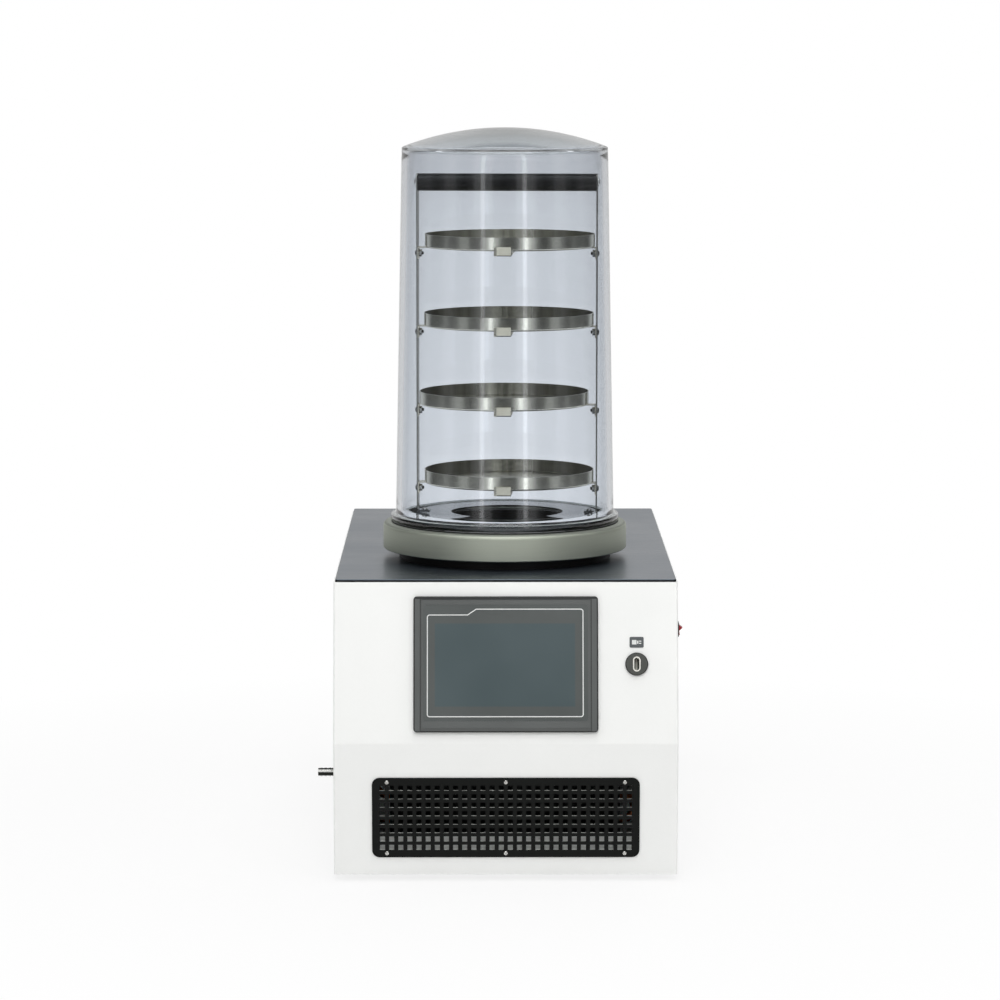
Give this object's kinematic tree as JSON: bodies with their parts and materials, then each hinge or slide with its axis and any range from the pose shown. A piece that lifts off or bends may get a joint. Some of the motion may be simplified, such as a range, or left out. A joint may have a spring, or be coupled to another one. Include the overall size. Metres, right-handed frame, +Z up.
{
  "type": "freeze dryer",
  "caption": "Bench-top freeze dryer: folded cabinet with touch panel and grille, and a domed clear jar on a metal ring over a rack of round trays.",
  "frame": {"origin": "centre of the whole outline at the level on which the feet stand", "axes": "+Z up, +X to the right of a person facing the touch panel, -Y towards that person"},
  "size_m": [0.4112, 0.7073, 0.8388],
  "materials": {
    "grille_black": "satin",
    "cabinet_paint": "satin",
    "plate_steel": "satin",
    "ring_aluminium": "satin",
    "stainless": "brushed",
    "disc_steel": "polished",
    "bright_screws": "polished",
    "black_plastic": "satin",
    "bezel_plastic": "fine texture",
    "screen": "gloss",
    "black_rubber": "matt",
    "tube_rubber": "matt",
    "jar_clear": "gloss",
    "foam": "matt",
    "copper": "satin",
    "fin_aluminium": "matt",
    "compressor_paint": "gloss",
    "galvanised": "matt",
    "switch_red": "gloss",
    "nozzle_metal": "satin",
    "label_print": "matt"
  },
  "bodies": {
    "cabinet": {"base_pan": "galvanised", "bell_jar": "jar_clear", "chamber_base_ring": "ring_aluminium", "chamber_seal": "black_rubber", "collar": "black_plastic", "compressor": "compressor_paint", "compressor_mounts": "black_rubber", "condenser_fins": "fin_aluminium", "condenser_tubes": "copper", "control_box": "galvanised", "disc_feet": "black_plastic", "drain_nozzle": "nozzle_metal", "drain_nut": "nozzle_metal", "drain_tube": "tube_rubber", "fan_bracket": "galvanised", "fan_motor": "compressor_paint", "fan_shroud": "galvanised", "filter_drier": "copper", "front_panel": "cabinet_paint", "grille_plate": "grille_black", "grille_screws": "bright_screws", "handle_screws": "bright_screws", "left_side_panel": "cabinet_paint", "left_upright": "stainless", "panel_screws": "bright_screws", "power_inlet": "black_plastic", "rack_base_disc": "disc_steel", "rack_handle": "black_plastic", "rack_screws": "bright_screws", "rear_panel": "cabinet_paint", "refrigerant_pipes": "copper", "right_side_panel": "cabinet_paint", "right_upright": "stainless", "rubber_feet": "black_rubber", "shelf_1": "stainless", "shelf_2": "stainless", "shelf_3": "stainless", "shelf_4": "stainless", "shelf_nuts": "bright_screws", "switch_frame": "black_plastic", "top_plate": "plate_steel", "touch_panel_clamps": "bright_screws", "touch_panel_frame": "bezel_plastic", "touch_panel_housing": "bezel_plastic", "touch_screen": "screen", "trap_coil": "copper", "trap_insulation": "foam", "trap_vessel": "stainless", "tray_1": "stainless", "tray_2": "stainless", "tray_3": "stainless", "tray_4": "stainless", "usb_label": "label_print", "usb_nut": "bright_screws", "usb_socket_body": "black_plastic", "usb_socket_shell": "bright_screws", "vacuum_pipe": "stainless", "vacuum_port": "stainless"},
    "power_rocker": {"switch_rocker": "switch_red"},
    "condenser_fan": {"fan_blades": "galvanised"}
  },
  "joints": [
    {"name": "power_rocker_tilt", "type": "hinge", "parent": "cabinet", "child": "power_rocker", "pos_m": [0.19765, -0.29965, 0.281], "axis": [0, -1, 0], "range_deg": [0, 40]},
    {"name": "condenser_fan_spin", "type": "hinge", "parent": "cabinet", "child": "condenser_fan", "pos_m": [0.00665, -0.06765, 0.0837], "axis": [0, 1, 0], "continuous": true}
  ]
}
